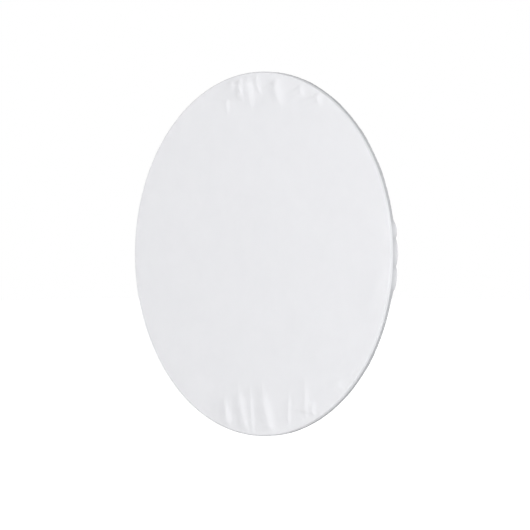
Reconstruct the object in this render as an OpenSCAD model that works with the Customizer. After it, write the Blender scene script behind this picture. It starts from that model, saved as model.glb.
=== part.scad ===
// Flat-folding reflector dish with a stretch diffuser cover, for a studio flash.
// The optical axis is Y: the flash seats on the plane y = 0 from the +Y side, and light leaves towards -Y.
// Every module is drawn in the optical frame: x to the right, y up, z forward from the seat plane.

/* [Cover and rim] */
// Diameter over the stretched diffuser cover
cover_d = 700; // [680:1:720]
// Distance from the seat plane to the front of the cover
cover_front = 165; // [162:1:170]
// Width of the flat bar that the rim hoop is rolled from
band_w = 8; // [7:0.5:9]
// Thickness of that bar
band_t = 2.5; // [2:0.1:3]
// Width of the hem that the cover draws in behind the rim
hem_w = 19; // [14:1:19]
// Thickness of the cover and shell fabrics
fabric_t = 0.7; // [0.5:0.1:0.8]

/* [Stays] */
// Distance that the rim travels back when the dish folds flat
fold_travel = 103; // [90:1:103]
// Diameter of the outer stay tube
stay_tube_d = 10; // [9.5:0.5:10.5]
// Diameter of the inner stay rod
stay_rod_d = 7; // [6:0.5:7]
// Diameter of the stay hinge pins
pin_d = 4; // [3:0.5:4]

/* [Hub and mount] */
// Outer radius of the fabric clamp
clamp_r = 100; // [98:1:101]
// Radius of the light opening in the bayonet
opening_r = 41.5; // [38:0.5:42]
// Radius over the bayonet lugs
lug_r = 48.4; // [47:0.1:48.6]
// Length of the bayonet spigot behind the seat plane
spigot_l = 13; // [12:0.5:16]

/* [Deflector] */
// Diameter of the deflector plate
deflector_d = 160; // [130:1:170]
// Distance from the seat plane to the deflector plate
deflector_z = 76; // [70:1:80]
// Radius of the circle that the three posts stand on
post_circle_r = 53; // [52.5:0.1:53.2]

/* [Hidden] */
$fn = 96;
small_fn = 32;
cover_fn = 180;

// Number of telescopic stays
stays = 6;
// Running gap between a pin or shaft and its bore
run_gap = 0.05;
// Gap between pieces that are stacked but separate
gap = 0.1;
// Gap under a screw head, nut or bush head, and at a glued or pressed joint
seat_gap = 0.02;
// Overshoot of a cutting tool past the face that it cuts
cut = 1;
// Chamfer on the edges of castings
edge = 0.9;

// Mount: bayonet plate, then the cast body, its collar and its flange
plate_t = 3;
plate_r = 76;
spigot_wall = 3;
spigot_r = opening_r + spigot_wall;
lug_t = 3.5;
lug_count = 3;
lug_angle = 42;
relief_r = 49;
relief_t = 0.5;
body_bore_r = 43;
collar_r = 62;
collar_top = 27;
flange_r = 80;
flange_top = 8;
plate_screw_r = 66;
plate_screws = 4;
screw_head_r = 4;
screw_head_h = 2.2;
screw_shank_r = 2;
screw_slot = [1, 5, 0.9];
post_d = 6;
post_count = 3;
post_room = 0.5;
post_thread_d = 4;
bush_d = 9;
bush_head_d = 11.5;
bush_head_t = 1.5;
circlip_z = 24.3;
circlip_t = 1.4;
circlip_w = 5;
circlip_mouth = 8;
groove_depth = 2.6;

// Hub: the ring that turns on the mount's collar
bush_wall = 3;
hub_bore_r = collar_r + bush_wall + 0.3;
hub_r = 90;
hub_bottom = 9.1;
hub_top = 24;
hub_flange_t = 3;
hub_flange_inner_r = 76;
shell_foot_z = hub_top + hub_flange_t + gap;
clamp_bottom = shell_foot_z + 2 * (fabric_t + gap);
clamp_top = clamp_bottom + 3;
clamp_in_r = hub_flange_inner_r + 1;
clamp_screw_count = 12;
clamp_screw_r = 84;
m3_r = 1.5;
m3_head_r = 2.8;
m3_head_t = 2;
m3_socket_d = 2;

// Stay line, from the pivot on the hub to the pivot at the rim, as radius and height
hub_pivot_r = 99;
hub_pivot_z = 14;
rim_pivot_r = cover_d / 2 - 45;
rim_pivot_z = cover_front - 40;
span_r = rim_pivot_r - hub_pivot_r;
span_z = rim_pivot_z - hub_pivot_z;
stay_len = norm([span_r, span_z]);
stay_angle = atan2(span_z, span_r);
folded_len = norm([span_r, span_z - fold_travel]);
folded_angle = atan2(span_z - fold_travel, span_r);
first_stay_angle = 30;

// Stay pieces, measured along the stay from the hub pivot
eye_r = 5.5;
tongue_t = 7;
lug_gap = 0.15;
lug_wall = 4;
lug_eye_r = 7.5;
hinge_pin_end = 0.8;
socket_start = 9;
socket_end = 30;
socket_d = stay_tube_d + 3;
tube_start = 14;
tube_end = 148;
tube_wall = 0.9;
collar_start = 138;
collar_end = 160;
collar_d = 16;
collar_nose = 4;
end_taper = 1.5;
rod_start = 100;
rod_wall = 1;
tip_eye_r = 4.5;
tip_t = 4;
tip_neck = 16;
tip_plug = 6;
tip_pin_l = 13;

// Rim: a flat bar hoop in a fabric sleeve, with the cover stretched over it
cover_r = cover_d / 2;
cover_gap = 0.3;
sleeve_gap = 0.1;
sleeve_out_r = cover_r - fabric_t - cover_gap;
sleeve_front = cover_front - fabric_t - cover_gap;
band_out_r = sleeve_out_r - fabric_t - sleeve_gap;
band_in_r = band_out_r - band_t;
band_front = sleeve_front - fabric_t - sleeve_gap;
band_rear = band_front - band_w;
sleeve_in_r = band_in_r - sleeve_gap - fabric_t;
sleeve_rear = band_rear - sleeve_gap - fabric_t;
lap_angle = 7;
slit = 0.1;

// Cover edge: a front corner, the side, a rear corner, then the hem that slopes in behind the rim
front_corner = 1.6;
rear_corner = 2.2;
rear_turn = -74;
arc_steps = 5;
elastic_w = 8;
front_centre = [cover_r - front_corner, cover_front - front_corner];
rear_centre = [cover_r - rear_corner, sleeve_rear + 0.2];
hem_dir = [cos(90 + rear_turn), sin(90 + rear_turn)];
hem_back = [hem_dir[1], -hem_dir[0]];
hem_end = rear_centre + (rear_corner - fabric_t) * hem_back - hem_w * hem_dir;

// Shell line, from the clamp to the inner side of the rim sleeve
shell_in_r = clamp_r + 1;
shell_out_r = sleeve_in_r - 0.7;
shell_out_z = band_front - 1.8;
lining_rise = 0.4;
shell_slope = (shell_out_z - shell_foot_z) / (shell_out_r - shell_in_r);
function shell_z(r) = shell_foot_z + (r - shell_in_r) * shell_slope;
shell_dir = [cos(atan(shell_slope)), sin(atan(shell_slope))];

// Rim brackets: a strap behind the shell, with a pad riveted to the hoop
strap_t = 3;
strap_gap = 0.5;
bracket_w = 12;
pad_t = 3;
pad_w = 22;
pad_out_r = sleeve_in_r - 0.1;
pad_in_r = pad_out_r - pad_t;
pad_top = shell_z(pad_in_r) - strap_gap - 0.1;
rivet_r = 1.1;
rivet_head_r = 1.9;
rivet_head_t = 0.8;
rivet_z = band_rear + 2.2;
rivet_angle = 1.37;
lap_rivet_angle = 1.8;

// The open pivot at the rim: how far a straight-line coupling carries the tip from its true place
function tip_len(t) = stay_len + (folded_len - stay_len) * t;
function tip_angle(t) = stay_angle + (folded_angle - stay_angle) * t;
slip_r = [for (t = [0 : 0.05 : 1]) tip_len(t) * cos(tip_angle(t)) - span_r];
slip_z = [for (t = [0 : 0.05 : 1]) tip_len(t) * sin(tip_angle(t)) - (span_z - fold_travel * t)];
slot_gap = 0.3;
slot_h = pin_d + 2 * slot_gap + max(slip_z) - min(slip_z);
slot_mid_z = rim_pivot_z + (max(slip_z) + min(slip_z)) / 2;
cheek_r = 8;

// Deflector and knob
deflector_t = 1.5;
deflector_lip = 4;
deflector_flat_r = deflector_d / 2 - 10;
nut_r = 5;
nut_t = 2.5;
post_bottom = 11.5;
post_top = deflector_z + deflector_t + nut_t - 0.8;
knob_z = 14;
knob_d = 22;
knob_l = 18;
knob_boss_d = 11;
knob_boss_end = 104;
knob_gap = 2;
knob_neck = 3;
knob_edge = 1.5;
knob_cap = 3;
flutes = 8;
stud_r = 3;

// Turns the optical frame into the row frame, where forward is -Y and up is +Z
module optical() rotate([90, 0, 0]) children();

// A ring about the optical axis between two radii and two heights
module ring(r_in, r_out, z_low, z_high) {
    translate([0, 0, z_low]) difference() {
        cylinder(r = r_out, h = z_high - z_low);
        translate([0, 0, -cut]) cylinder(r = r_in, h = z_high - z_low + 2 * cut);
    }
}

// A cylinder from one height to another, at a radius and an angle
module post_at(r, angle, d, z_low, z_high) {
    rotate([0, 0, angle]) translate([r, 0, z_low])
        cylinder(d = d, h = z_high - z_low, $fn = small_fn);
}

function plate_screw_angle(k) = 45 + 360 / plate_screws * k;
function post_angle(k) = 90 + 360 / post_count * k;
function clamp_screw_angle(k) = 360 / clamp_screw_count * (k + 0.5);

// A cylinder at every post, and at every clamp screw
module at_posts(d, z_low, z_high)
    for (k = [0 : post_count - 1]) post_at(post_circle_r, post_angle(k), d, z_low, z_high);

module at_clamp_screws(d, z_low, z_high)
    for (k = [0 : clamp_screw_count - 1]) post_at(clamp_screw_r, clamp_screw_angle(k), d, z_low, z_high);

function stay_turn(k) = first_stay_angle + 360 / stays * (k - 1);

// Places children in stay k's own frame: x along the stay from the hub pivot, y sideways
module on_stay(k) {
    optical() rotate([0, 0, stay_turn(k)]) translate([hub_pivot_r, 0, hub_pivot_z])
        rotate([0, -stay_angle, 0]) children();
}

// A cylinder along x between two stations
module along(d, from, to) {
    translate([from, 0, 0]) rotate([0, 90, 0])
        cylinder(d = d, h = to - from, $fn = small_fn);
}

// A cone along x between two stations
module coned(d_from, d_to, from, to) {
    translate([from, 0, 0]) rotate([0, 90, 0])
        cylinder(d1 = d_from, d2 = d_to, h = to - from, $fn = small_fn);
}

// A cylinder across the stay, centred on the stay line
module across(d, x, l) {
    translate([x, l / 2, 0]) rotate([90, 0, 0]) cylinder(d = d, h = l, $fn = small_fn);
}

// A flat sector about the +X direction, out past the collar
module wedge_sector(angle)
    polygon([[0, 0], for (side = [-1, 1]) 2 * collar_r * [cos(angle / 2), side * sin(angle / 2)]]);

module circlip_groove()
    ring(collar_r - groove_depth, collar_r + cut, circlip_z - gap, circlip_z + circlip_t + gap);

// A turned piece about the optical axis, from its section as radius and height
module turned(section) rotate_extrude() polygon(section);

module mount_body() color("#1d1d1f") optical() difference() {
    turned([
        [body_bore_r, plate_t], [flange_r - edge, plate_t], [flange_r, plate_t + edge],
        [flange_r, flange_top - edge], [flange_r - edge, flange_top], [collar_r, flange_top],
        [collar_r, collar_top - edge], [collar_r - edge, collar_top],
        [body_bore_r + edge, collar_top], [body_bore_r, collar_top - edge]]);
    circlip_groove();
    at_posts(bush_d, plate_t - cut, collar_top + cut);
    for (k = [0 : plate_screws - 1])
        post_at(plate_screw_r, plate_screw_angle(k), 2 * (screw_shank_r + run_gap),
            plate_t - cut, flange_top - 1);
}

// A countersunk plate screw, a given amount larger all round
module plate_screw(k, slack) {
    rotate([0, 0, plate_screw_angle(k)]) translate([plate_screw_r, 0, gap]) {
        cylinder(r1 = screw_head_r + slack, r2 = screw_shank_r + slack, h = screw_head_h, $fn = small_fn);
        cylinder(r = screw_shank_r + slack, h = flange_top - 1 - 2 * gap, $fn = small_fn);
    }
}

module bayonet_ring() color("#b9bbbe") optical() difference() {
    union() {
        turned([
            [opening_r, -spigot_l + edge], [opening_r + edge, -spigot_l], [spigot_r - edge / 2, -spigot_l],
            [spigot_r, -spigot_l + edge / 2], [spigot_r, relief_t], [relief_r, relief_t], [relief_r, 0],
            [plate_r - edge, 0], [plate_r, edge], [plate_r, plate_t], [opening_r, plate_t]]);
        for (k = [0 : lug_count - 1]) rotate([0, 0, 360 / lug_count * k]) intersection() {
            turned([
                [spigot_r - edge / 2, -spigot_l + gap], [lug_r - edge, -spigot_l + gap],
                [lug_r, -spigot_l + edge], [lug_r, -spigot_l + lug_t],
                [spigot_r - edge / 2, -spigot_l + lug_t]]);
            translate([0, 0, -spigot_l - cut]) linear_extrude(lug_t + 2 * cut) wedge_sector(lug_angle);
        }
    }
    at_posts(post_d + 2 * post_room, -cut, plate_t + cut);
    for (k = [0 : plate_screws - 1]) {
        plate_screw(k, gap);
        post_at(plate_screw_r, plate_screw_angle(k), 2 * (screw_head_r + gap), -cut, gap);
    }
}

module bayonet_screws() color("#8e9092") optical()
    for (k = [0 : plate_screws - 1]) difference() {
        plate_screw(k, 0);
        rotate([0, 0, plate_screw_angle(k)])
            translate([plate_screw_r - screw_slot[0] / 2, -screw_slot[1] / 2, -cut])
                cube([screw_slot[0], screw_slot[1], screw_slot[2] + cut]);
    }

module guide_bushes() color("#e8e6df") optical() difference() {
    union() {
        at_posts(bush_head_d, collar_top + seat_gap, collar_top + bush_head_t);
        at_posts(bush_d - 2 * run_gap, plate_t, collar_top + bush_head_t);
    }
    at_posts(post_d + 2 * run_gap, 0, deflector_z);
}

module retaining_circlip() color("#9a9c9f") optical() difference() {
    ring(collar_r - groove_depth + gap, collar_r + circlip_w, circlip_z, circlip_z + circlip_t);
    translate([0, 0, circlip_z - cut]) linear_extrude(circlip_t + 2 * cut) wedge_sector(circlip_mouth);
}

module rotation_bush() color("#dedcd4") optical()
    ring(collar_r + run_gap, collar_r + bush_wall, flange_top + gap, circlip_z - gap);

module glide_washer() color("#dedcd4") optical()
    ring(collar_r + bush_wall + gap, flange_r - 2, flange_top + seat_gap, hub_bottom - seat_gap);

// The pair of hinge lugs for stay k, before the slot between them is cut
module hinge_lug(k) rotate([0, 0, stay_turn(k)]) difference() {
    slot = tongue_t + 2 * lug_gap;
    width = slot + 2 * lug_wall;
    root = 4;
    union() {
        translate([hub_r - root, -width / 2, hub_bottom])
            cube([hub_pivot_r - hub_r + root, width, hub_pivot_z + lug_eye_r - hub_bottom]);
        translate([hub_pivot_r, width / 2, hub_pivot_z]) rotate([90, 0, 0])
            cylinder(r = lug_eye_r, h = width, $fn = 48);
    }
    translate([hub_r + 0.5, -slot / 2, 0]) cube([hub_pivot_r, slot, hub_top]);
    translate([hub_pivot_r, width, hub_pivot_z]) rotate([90, 0, 0])
        cylinder(d = pin_d + 2 * run_gap, h = 2 * width, $fn = small_fn);
}

module hub_housing() color("#222224") optical() difference() {
    union() {
        turned([
            [hub_bore_r, hub_bottom + edge], [hub_bore_r + edge, hub_bottom], [hub_r - 2 * edge, hub_bottom],
            [hub_r, hub_bottom + 2 * edge], [hub_r, hub_top - edge], [hub_r + edge, hub_top],
            [clamp_r - edge, hub_top], [clamp_r, hub_top + edge], [clamp_r, hub_top + hub_flange_t],
            [hub_flange_inner_r, hub_top + hub_flange_t], [hub_flange_inner_r, hub_top],
            [hub_bore_r, hub_top]]);
        for (k = [1 : stays]) hinge_lug(k);
        translate([0, 0, knob_z]) along(knob_boss_d, hub_r - 6, knob_boss_end);
    }
    at_clamp_screws(2 * (m3_r + gap), hub_top - 9, clamp_bottom);
    translate([0, 0, knob_z]) along(2 * (stud_r + gap), hub_bore_r - cut, knob_boss_end + cut);
}

module clamp_ring() color("#262628") optical() difference() {
    turned([
        [clamp_in_r, clamp_bottom], [clamp_r, clamp_bottom], [clamp_r, clamp_top - 2 * edge],
        [clamp_r - 2 * edge, clamp_top], [clamp_in_r + edge, clamp_top], [clamp_in_r, clamp_top - edge]]);
    at_clamp_screws(2 * (m3_r + gap), hub_top, clamp_top + cut);
}

module clamp_screws() color("#8e9092") optical() difference() {
    union() {
        at_clamp_screws(2 * m3_r, hub_top - 8, clamp_top + m3_head_t / 2);
        at_clamp_screws(2 * m3_head_r, clamp_top + seat_gap, clamp_top + m3_head_t);
    }
    at_clamp_screws(m3_socket_d, clamp_top + 0.8, clamp_top + m3_head_t + cut);
}

module hub_hinge_pins() color("#b4b6b8") optical()
    for (k = [1 : stays]) rotate([0, 0, stay_turn(k)]) translate([hub_pivot_r, 0, hub_pivot_z])
        across(pin_d, 0, tongue_t + 2 * (lug_gap + lug_wall + hinge_pin_end));

// A fabric cone from the clamp to the rim, lifted off the shell line at the clamp and at the rim
module fabric_cone(lift_in, lift_out) difference() {
    inner = clamp_in_r + 1;
    rotate_extrude() polygon([
        [inner, shell_foot_z + lift_in], [shell_in_r, shell_foot_z + lift_in],
        [shell_out_r, shell_out_z + lift_out], [shell_out_r, shell_out_z + lift_out + fabric_t],
        [shell_in_r, shell_foot_z + lift_in + fabric_t], [inner, shell_foot_z + lift_in + fabric_t]]);
    at_clamp_screws(2 * (m3_r + gap), hub_top, clamp_bottom + cut);
}

module outer_shell() color("#151517") optical() fabric_cone(0, 0);
module inner_lining() color("#c9cacc") optical() fabric_cone(fabric_t + gap, fabric_t + lining_rise);

module lock_knob() color("#202022") optical() translate([knob_boss_end + knob_gap, 0, knob_z]) difference() {
    union() {
        along(knob_d - 5, 0, knob_neck + 1);
        coned(knob_d - 2 * knob_edge, knob_d, knob_neck, knob_neck + knob_edge);
        along(knob_d, knob_neck + knob_edge, knob_l - knob_edge);
        coned(knob_d, knob_d - 2 * knob_edge, knob_l - knob_edge, knob_l);
    }
    for (a = [0 : 360 / flutes : 359]) rotate([a, 0, 0])
        translate([0, 0, knob_d / 2 + knob_edge]) along(6, knob_neck, knob_l + cut);
    along(2 * stud_r + seat_gap, -cut, knob_l - knob_cap);
}

module knob_stud() color("#a9abad") optical() translate([0, 0, knob_z])
    along(2 * stud_r, hub_bore_r + 2 * gap, knob_boss_end + knob_gap + knob_l - knob_cap - 2 * gap);

module deflector_plate() color("#e9eaec") optical() difference() {
    rotate_extrude() polygon([
        [0, deflector_z], [deflector_flat_r, deflector_z],
        [deflector_d / 2, deflector_z - deflector_lip],
        [deflector_d / 2, deflector_z - deflector_lip + deflector_t],
        [deflector_flat_r, deflector_z + deflector_t], [0, deflector_z + deflector_t]]);
    at_posts(post_thread_d + 2 * gap, deflector_z - cut, deflector_z + deflector_t + cut);
}

module deflector_posts() color("#b4b6b8") optical() {
    at_posts(post_d, post_bottom, deflector_z - seat_gap);
    at_posts(post_thread_d, deflector_z - 0.5, post_top);
}

module deflector_nuts() color("#9a9c9f") optical() difference() {
    for (k = [0 : post_count - 1]) rotate([0, 0, post_angle(k)])
        translate([post_circle_r, 0, deflector_z + deflector_t + seat_gap])
            cylinder(r = nut_r, h = nut_t, $fn = 6);
    at_posts(post_thread_d + 2 * run_gap, deflector_z, post_top + run_gap);
}

// Stay pieces

module stay_foot(k) color("#232325") on_stay(k) difference() {
    union() {
        across(2 * eye_r, 0, tongue_t);
        translate([0, -tongue_t / 2, -eye_r]) cube([socket_start + 3, tongue_t, 2 * eye_r]);
        along(socket_d, socket_start, socket_end - end_taper);
        coned(socket_d, socket_d - 2, socket_end - end_taper, socket_end);
    }
    across(pin_d + 2 * run_gap, 0, 3 * tongue_t);
    along(stay_tube_d + 2 * run_gap, tube_start - gap, socket_end + cut);
}

module stay_tube(k) color("#2b2b2e") on_stay(k) difference() {
    along(stay_tube_d, tube_start, tube_end);
    along(stay_tube_d - 2 * tube_wall, tube_start - cut, tube_end + cut);
}

module stay_collar(k) color("#1b1b1d") on_stay(k) difference() {
    union() {
        coned(collar_d - 2 * end_taper, collar_d, collar_start, collar_start + end_taper);
        along(collar_d, collar_start + end_taper, collar_end - collar_nose);
        coned(collar_d, collar_d - 5, collar_end - collar_nose, collar_end);
    }
    for (a = [0 : 360 / flutes : 359]) rotate([a, 0, 0])
        translate([0, 0, collar_d / 2 + 0.9]) along(4, collar_start + 4, collar_end - collar_nose - 0.5);
    along(stay_tube_d + 2 * run_gap, collar_start - cut, tube_end + gap);
    along(stay_rod_d + 2 * run_gap, collar_start, collar_end + cut);
}

module stay_rod(k) color("#c4c6c8") on_stay(k) difference() {
    along(stay_rod_d, rod_start, stay_len - tip_neck - tip_plug);
    along(stay_rod_d - 2 * rod_wall, rod_start - cut, stay_len);
}

module stay_tip(k) color("#232325") on_stay(k) union() {
    shoulder = stay_len - tip_neck - tip_plug;
    blade_h = 2 * tip_eye_r - 3;
    along(stay_rod_d - 2 * rod_wall - run_gap, shoulder - 8, stay_len - tip_neck);
    along(stay_rod_d + 1.5, shoulder + run_gap, stay_len - tip_neck);
    translate([stay_len - tip_neck - 2, -tip_t / 2, -blade_h / 2]) cube([tip_neck + 2, tip_t, blade_h]);
    across(2 * tip_eye_r, stay_len, tip_t);
    across(pin_d, stay_len, tip_pin_l);
}

// Rim pieces

// A radial cylinder at an angle from the rim's own mark, between two radii
module radial(angle, r, from, to) {
    rotate([0, 0, angle]) translate([0, 0, rivet_z]) rotate([0, 90, 0]) translate([0, 0, from])
        cylinder(r = r, h = to - from, $fn = small_fn);
}

// Every rivet's shank, a given amount larger, between two radii
module bracket_shanks(grow, from, to) for (k = [1 : stays])
    for (side = [-1, 1]) radial(stay_turn(k) + side * rivet_angle, rivet_r + grow, from, to);

module lap_shanks(grow, from, to)
    for (side = [-1, 1]) radial(side * lap_rivet_angle, rivet_r + grow, from, to);

// A wedge about the +X direction, from the axis out past the rim
module wedge(from, to) translate([0, 0, band_rear - cut]) linear_extrude(band_w + 2 * cut)
    polygon([[0, 0], 2 * cover_r * [cos(from), sin(from)], 2 * cover_r * [cos(to), sin(to)]]);

// The half-lap joint: two radial slits, joined by a slit along the middle of the bar
module lap_slit() {
    middle = (band_in_r + band_out_r) / 2;
    half = lap_angle / 2;
    slit_angle = 0.02;
    intersection() {
        ring(middle - slit / 2, middle + slit / 2, band_rear - cut, band_front + cut);
        wedge(-half, half);
    }
    intersection() {
        ring(middle - slit / 2, band_out_r + cut, band_rear - cut, band_front + cut);
        wedge(half - slit_angle, half);
    }
    intersection() {
        ring(band_in_r - cut, middle + slit / 2, band_rear - cut, band_front + cut);
        wedge(-half, -half + slit_angle);
    }
}

module rim_band() color("#b9bbbe") optical() difference() {
    ring(band_in_r, band_out_r, band_rear, band_front);
    lap_slit();
    bracket_shanks(run_gap, band_in_r - cut, band_out_r + cut);
    lap_shanks(run_gap, band_in_r - cut, band_out_r + cut);
}

module rim_sleeve() color("#e6e7e9") optical() difference() {
    ring(sleeve_in_r, sleeve_out_r, sleeve_rear, sleeve_front);
    ring(sleeve_in_r + fabric_t, sleeve_out_r - fabric_t, sleeve_rear + fabric_t, sleeve_front - fabric_t);
    bracket_shanks(run_gap, sleeve_in_r - cut, band_in_r);
}

module rim_rivets() color("#a9abad") optical() {
    head = rivet_head_r - rivet_r;
    bracket_shanks(0, pad_in_r - rivet_head_t / 2, band_out_r - gap / 2);
    bracket_shanks(head, pad_in_r - gap - rivet_head_t, pad_in_r - gap);
    lap_shanks(0, band_in_r + gap / 2, band_out_r - gap / 2);
}

// A point behind the shell line at a radius, set back square to the line
function behind_shell(r, back) = [r + back * shell_dir[1], shell_z(r) - back * shell_dir[0]];

// The strap that hugs the shell, from the rim to just inside the rim pivot
module bracket_strap() polygon([
    behind_shell(rim_pivot_r - 10, strap_gap), behind_shell(pad_in_r + 1, strap_gap),
    behind_shell(pad_in_r + 1, strap_gap + strap_t), behind_shell(rim_pivot_r - 8, strap_gap + strap_t)]);

// The cheeks round the slot, with a gusset up to the strap
module bracket_cheeks() {
    translate([rim_pivot_r, slot_mid_z]) circle(r = cheek_r, $fn = 48);
    translate([rim_pivot_r + max(slip_r), slot_mid_z]) circle(r = cheek_r, $fn = 48);
    translate([rim_pivot_r, slot_mid_z - cheek_r]) square([max(slip_r), 2 * cheek_r]);
    polygon([
        [rim_pivot_r - cheek_r, slot_mid_z], behind_shell(rim_pivot_r - 9, strap_gap + 1),
        behind_shell(rim_pivot_r + 18, strap_gap + 1), [rim_pivot_r + max(slip_r) + cheek_r * 0.7,
        slot_mid_z - cheek_r * 0.7]]);
}

// Extrudes a side view in the radius and height plane to a width, centred on it
module side_slab(w) translate([0, w / 2, 0]) rotate([90, 0, 0]) linear_extrude(w) children();

module bracket_slot() translate([rim_pivot_r - pin_d / 2 - slot_gap, -10, slot_mid_z - slot_h / 2])
    cube([pin_d + 2 * slot_gap + max(slip_r), 20, slot_h]);

// The gap between the cheeks, closed at its outer end by the web
module tongue_gap() side_slab(tip_t + 0.8) polygon([
    [rim_pivot_r - 30, 0], [rim_pivot_r + max(slip_r) + tip_eye_r + 1.5, 0],
    [rim_pivot_r + max(slip_r) + tip_eye_r + 1.5, slot_mid_z],
    behind_shell(rim_pivot_r + 7, strap_gap + strap_t), behind_shell(rim_pivot_r - 30, strap_gap + strap_t)]);

module rim_bracket() difference() {
    union() {
        intersection() {
            ring(pad_in_r, pad_out_r, sleeve_rear + 0.1, pad_top);
            translate([0, -pad_w / 2, 0]) cube([cover_r, pad_w, cover_front]);
        }
        intersection() {
            side_slab(bracket_w) union() {
                bracket_strap();
                bracket_cheeks();
            }
            cylinder(r = pad_out_r - 1, h = cover_front);
        }
    }
    tongue_gap();
    bracket_slot();
    for (side = [-1, 1]) radial(side * rivet_angle, rivet_r + run_gap, pad_in_r - 10, pad_out_r + cut);
}

module rim_brackets() color("#232325") optical()
    for (k = [1 : stays]) rotate([0, 0, stay_turn(k)]) rim_bracket();

// Cover pieces

// The face is the stretched front of the cover, and the skirt is its edge, drawn in behind the rim
module cover_face() color("#f4f5f7") optical()
    translate([0, 0, cover_front - fabric_t])
        cylinder(r = cover_r - front_corner - run_gap, h = fabric_t, $fn = cover_fn);

// Points on an arc in the radius and height plane
function arc(centre, r, from, to) = [for (i = [0 : arc_steps])
    let (a = from + (to - from) * i / arc_steps) centre + r * [cos(a), sin(a)]];

module cover_skirt() color("#eef0f2") optical() rotate_extrude($fn = cover_fn) polygon(concat(
    arc(front_centre, front_corner, 90, 0), arc(rear_centre, rear_corner, 0, rear_turn),
    [hem_end + fabric_t * hem_back, hem_end],
    arc(rear_centre, rear_corner - fabric_t, rear_turn, 0),
    arc(front_centre, front_corner - fabric_t, 0, 90)));

module hem_elastic() color("#f1f1f1") optical() rotate_extrude($fn = cover_fn) polygon([
    hem_end + (fabric_t + gap) * hem_back, hem_end + (2 * fabric_t + gap) * hem_back,
    hem_end + elastic_w * hem_dir + (2 * fabric_t + gap) * hem_back,
    hem_end + elastic_w * hem_dir + (fabric_t + gap) * hem_back]);

mount_body();
bayonet_ring();
bayonet_screws();
guide_bushes();
retaining_circlip();
hub_housing();
rotation_bush();
glide_washer();
clamp_ring();
clamp_screws();
hub_hinge_pins();
outer_shell();
inner_lining();
lock_knob();
knob_stud();
deflector_plate();
deflector_posts();
deflector_nuts();
rim_band();
rim_sleeve();
rim_brackets();
rim_rivets();
cover_face();
cover_skirt();
hem_elastic();
for (k = [1 : stays]) {
    stay_foot(k);
    stay_tube(k);
    stay_collar(k);
    stay_rod(k);
    stay_tip(k);
}
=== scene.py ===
"""Looks for the flat-folding reflector dish: its stretch cover, cloth shell and every hard part's finish.

Everything is in metres in the row frame: the optical axis is Y, light leaves towards -Y, and +Z is up.
A depth is a distance ahead of the seat plane, so it is a -Y.
"""
import math

import bmesh
import bpy
import numpy as np
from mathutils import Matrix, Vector


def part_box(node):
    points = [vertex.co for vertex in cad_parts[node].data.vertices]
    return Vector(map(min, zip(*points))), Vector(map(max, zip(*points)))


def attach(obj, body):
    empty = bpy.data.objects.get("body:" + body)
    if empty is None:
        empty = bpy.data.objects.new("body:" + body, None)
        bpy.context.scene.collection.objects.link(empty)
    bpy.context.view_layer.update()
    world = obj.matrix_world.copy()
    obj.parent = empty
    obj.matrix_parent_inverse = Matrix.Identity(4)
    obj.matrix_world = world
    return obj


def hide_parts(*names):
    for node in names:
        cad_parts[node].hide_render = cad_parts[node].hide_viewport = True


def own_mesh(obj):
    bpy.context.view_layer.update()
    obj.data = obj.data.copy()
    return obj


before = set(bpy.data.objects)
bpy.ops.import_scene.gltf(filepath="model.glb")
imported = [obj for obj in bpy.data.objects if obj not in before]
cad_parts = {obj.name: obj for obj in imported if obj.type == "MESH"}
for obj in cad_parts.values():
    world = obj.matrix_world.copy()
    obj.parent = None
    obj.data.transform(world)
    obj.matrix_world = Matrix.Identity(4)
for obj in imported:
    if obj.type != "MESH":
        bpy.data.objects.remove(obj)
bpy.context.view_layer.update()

MM = 0.001
TAU = 2 * math.pi


# ---------------------------------------------------------------- sizes from the frame

def far(node, axis):
    """A node's highest coordinate on an axis."""
    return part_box(node)[1][axis]


def near(node, axis):
    """A node's lowest coordinate on an axis."""
    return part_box(node)[0][axis]


COVER_R = far("cover_skirt", 0)
COVER_FRONT = -near("cover_face", 1)
SLEEVE_OUT_R = far("rim_sleeve", 0)
SLEEVE_IN_R = SLEEVE_OUT_R - 4.1 * MM
SLEEVE_FRONT = -near("rim_sleeve", 1)
SLEEVE_REAR = -far("rim_sleeve", 1)
SHELL_FOOT = -far("outer_shell", 1)
SHELL_OUT_Z = -near("outer_shell", 1)
LINING_FOOT = -far("inner_lining", 1)
LINING_OUT_Z = -near("inner_lining", 1)
CLAMP_R = far("clamp_ring", 0)


# ---------------------------------------------------------------- mesh helpers

def build_object(name, verts, faces, uvs=None, gores=None):
    """A mesh object from vertex rows and faces.

    uvs is a pair per vertex. With gores, each pair is angle and run instead, next to the radius the angle is
    measured at, and every face takes its angle from the middle of its own gore, so no face spans a jump.
    """
    mesh = bpy.data.meshes.new(name)
    mesh.from_pydata([tuple(v) for v in verts], [], faces)
    if uvs is not None:
        layer = mesh.uv_layers.new(name="cloth")
        loops = np.zeros(len(mesh.loops), np.int32)
        mesh.loops.foreach_get("vertex_index", loops)
        pairs = np.asarray(uvs, float)[loops]
        if gores is not None:
            panel, radius = gores
            first = np.repeat(pairs[::4, 0], 4)
            turn = first + (pairs[:, 0] - first + math.pi) % TAU - math.pi
            middle = turn.reshape(-1, 4).mean(axis=1)
            centre = panel * np.round(middle / panel) if panel < TAU else 0 * middle
            wide = (turn - np.repeat(centre, 4)) * np.asarray(radius)[loops]
            pairs = np.stack([wide, pairs[:, 1]], -1)
        layer.data.foreach_set("uv", pairs.astype(np.float32).ravel())
    mesh.polygons.foreach_set("use_smooth", [True] * len(mesh.polygons))
    mesh.update()
    piece = bpy.data.objects.new(name, mesh)
    bpy.context.scene.collection.objects.link(piece)
    return piece


def one_wrap(points):
    """Gores for a ring with no seams: a single panel, measured at the cover's radius."""
    return TAU, np.full(len(points), COVER_R)


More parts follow.
